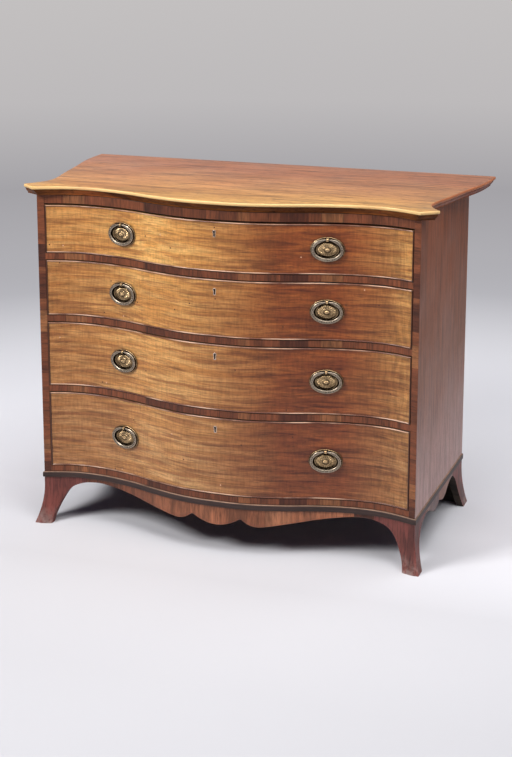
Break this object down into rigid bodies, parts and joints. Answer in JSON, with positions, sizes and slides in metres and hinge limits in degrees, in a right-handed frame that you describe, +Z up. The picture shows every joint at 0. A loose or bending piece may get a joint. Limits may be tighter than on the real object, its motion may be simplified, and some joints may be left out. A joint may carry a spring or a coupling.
{
  "type": "serpentine chest of drawers",
  "caption": "Serpentine dressing chest with graduated cock-beaded long drawers, oval brass ring handles, flared moulded top, shaped aprons and splayed bracket feet.",
  "frame": {"origin": "on the floor under the middle of the top's bounding box", "axes": "+X to the right as seen from the front, along the width; -Y out of the drawers' front; +Z up"},
  "size_m": [1.188, 0.6142, 0.9425],
  "materials": {
    "mahogany_top": "polished, figured",
    "mahogany_front": "polished, figured",
    "mahogany_side": "polished, faded",
    "crossband": "polished, crossbanded",
    "dark_band": "dark stained, satin",
    "foot_veneer": "polished, worn",
    "drawer_lining": "bare, sanded",
    "carcase_wood": "bare, aged",
    "brass": "aged, dark in the hollows",
    "steel": "dull, aged"
  },
  "bodies": {
    "case": {"top": "mahogany_top", "case_side_left": "mahogany_side", "case_side_right": "mahogany_side", "frieze_rail": "crossband", "case_bottom": "crossband", "back_panel": "carcase_wood", "base_moulding": "dark_band", "apron_front": "crossband", "apron_left": "crossband", "apron_right": "crossband", "drawer_divider_1": "crossband", "dust_board_1": "carcase_wood", "drawer_divider_2": "crossband", "dust_board_2": "carcase_wood", "drawer_divider_3": "crossband", "dust_board_3": "carcase_wood", "front_left_foot": "foot_veneer", "front_right_foot": "foot_veneer", "back_left_foot": "foot_veneer", "back_right_foot": "foot_veneer"},
    "drawer_1": {"drawer_1_front": "mahogany_front", "drawer_1_box": "drawer_lining", "drawer_1_bottom": "drawer_lining", "drawer_1_keyhole_liner": "brass", "drawer_1_lock": "steel", "drawer_1_left_plate": "brass", "drawer_1_right_plate": "brass"},
    "drawer_1_bolt": {"drawer_1_lock_bolt": "steel"},
    "drawer_1_left_handle": {"drawer_1_left_ring": "brass"},
    "drawer_1_right_handle": {"drawer_1_right_ring": "brass"},
    "drawer_2": {"drawer_2_front": "mahogany_front", "drawer_2_box": "drawer_lining", "drawer_2_bottom": "drawer_lining", "drawer_2_keyhole_liner": "brass", "drawer_2_lock": "steel", "drawer_2_left_plate": "brass", "drawer_2_right_plate": "brass"},
    "drawer_2_bolt": {"drawer_2_lock_bolt": "steel"},
    "drawer_2_left_handle": {"drawer_2_left_ring": "brass"},
    "drawer_2_right_handle": {"drawer_2_right_ring": "brass"},
    "drawer_3": {"drawer_3_front": "mahogany_front", "drawer_3_box": "drawer_lining", "drawer_3_bottom": "drawer_lining", "drawer_3_keyhole_liner": "brass", "drawer_3_lock": "steel", "drawer_3_left_plate": "brass", "drawer_3_right_plate": "brass"},
    "drawer_3_bolt": {"drawer_3_lock_bolt": "steel"},
    "drawer_3_left_handle": {"drawer_3_left_ring": "brass"},
    "drawer_3_right_handle": {"drawer_3_right_ring": "brass"},
    "drawer_4": {"drawer_4_front": "mahogany_front", "drawer_4_box": "drawer_lining", "drawer_4_bottom": "drawer_lining", "drawer_4_keyhole_liner": "brass", "drawer_4_lock": "steel", "drawer_4_left_plate": "brass", "drawer_4_right_plate": "brass"},
    "drawer_4_bolt": {"drawer_4_lock_bolt": "steel"},
    "drawer_4_left_handle": {"drawer_4_left_ring": "brass"},
    "drawer_4_right_handle": {"drawer_4_right_ring": "brass"}
  },
  "joints": [
    {"name": "drawer_1_slide", "type": "slide", "parent": "case", "child": "drawer_1", "axis": [0, -1, 0], "range_m": [0, 0.38]},
    {"name": "drawer_1_bolt_slide", "type": "slide", "parent": "drawer_1", "child": "drawer_1_bolt", "axis": [0, 0, 1], "range_m": [0, 0.0065]},
    {"name": "drawer_1_left_ring_hinge", "type": "hinge", "parent": "drawer_1", "child": "drawer_1_left_handle", "pos_m": [-0.28395, -0.24055, 0.8505], "axis": [-0.9707, 0.2401, 0], "range_deg": [0, 95]},
    {"name": "drawer_1_right_ring_hinge", "type": "hinge", "parent": "drawer_1", "child": "drawer_1_right_handle", "pos_m": [0.28395, -0.24055, 0.8505], "axis": [-0.9707, -0.2401, 0], "range_deg": [0, 95]},
    {"name": "drawer_2_slide", "type": "slide", "parent": "case", "child": "drawer_2", "axis": [0, -1, 0], "range_m": [0, 0.38]},
    {"name": "drawer_2_bolt_slide", "type": "slide", "parent": "drawer_2", "child": "drawer_2_bolt", "axis": [0, 0, 1], "range_m": [0, 0.0065]},
    {"name": "drawer_2_left_ring_hinge", "type": "hinge", "parent": "drawer_2", "child": "drawer_2_left_handle", "pos_m": [-0.28395, -0.24055, 0.68925], "axis": [-0.9707, 0.2401, 0], "range_deg": [0, 95]},
    {"name": "drawer_2_right_ring_hinge", "type": "hinge", "parent": "drawer_2", "child": "drawer_2_right_handle", "pos_m": [0.28395, -0.24055, 0.68925], "axis": [-0.9707, -0.2401, 0], "range_deg": [0, 95]},
    {"name": "drawer_3_slide", "type": "slide", "parent": "case", "child": "drawer_3", "axis": [0, -1, 0], "range_m": [0, 0.38]},
    {"name": "drawer_3_bolt_slide", "type": "slide", "parent": "drawer_3", "child": "drawer_3_bolt", "axis": [0, 0, 1], "range_m": [0, 0.0065]},
    {"name": "drawer_3_left_ring_hinge", "type": "hinge", "parent": "drawer_3", "child": "drawer_3_left_handle", "pos_m": [-0.28395, -0.24055, 0.505], "axis": [-0.9707, 0.2401, 0], "range_deg": [0, 95]},
    {"name": "drawer_3_right_ring_hinge", "type": "hinge", "parent": "drawer_3", "child": "drawer_3_right_handle", "pos_m": [0.28395, -0.24055, 0.505], "axis": [-0.9707, -0.2401, 0], "range_deg": [0, 95]},
    {"name": "drawer_4_slide", "type": "slide", "parent": "case", "child": "drawer_4", "axis": [0, -1, 0], "range_m": [0, 0.38]},
    {"name": "drawer_4_bolt_slide", "type": "slide", "parent": "drawer_4", "child": "drawer_4_bolt", "axis": [0, 0, 1], "range_m": [0, 0.0065]},
    {"name": "drawer_4_left_ring_hinge", "type": "hinge", "parent": "drawer_4", "child": "drawer_4_left_handle", "pos_m": [-0.28395, -0.24055, 0.2915], "axis": [-0.9707, 0.2401, 0], "range_deg": [0, 95]},
    {"name": "drawer_4_right_ring_hinge", "type": "hinge", "parent": "drawer_4", "child": "drawer_4_right_handle", "pos_m": [0.28395, -0.24055, 0.2915], "axis": [-0.9707, -0.2401, 0], "range_deg": [0, 95]}
  ]
}
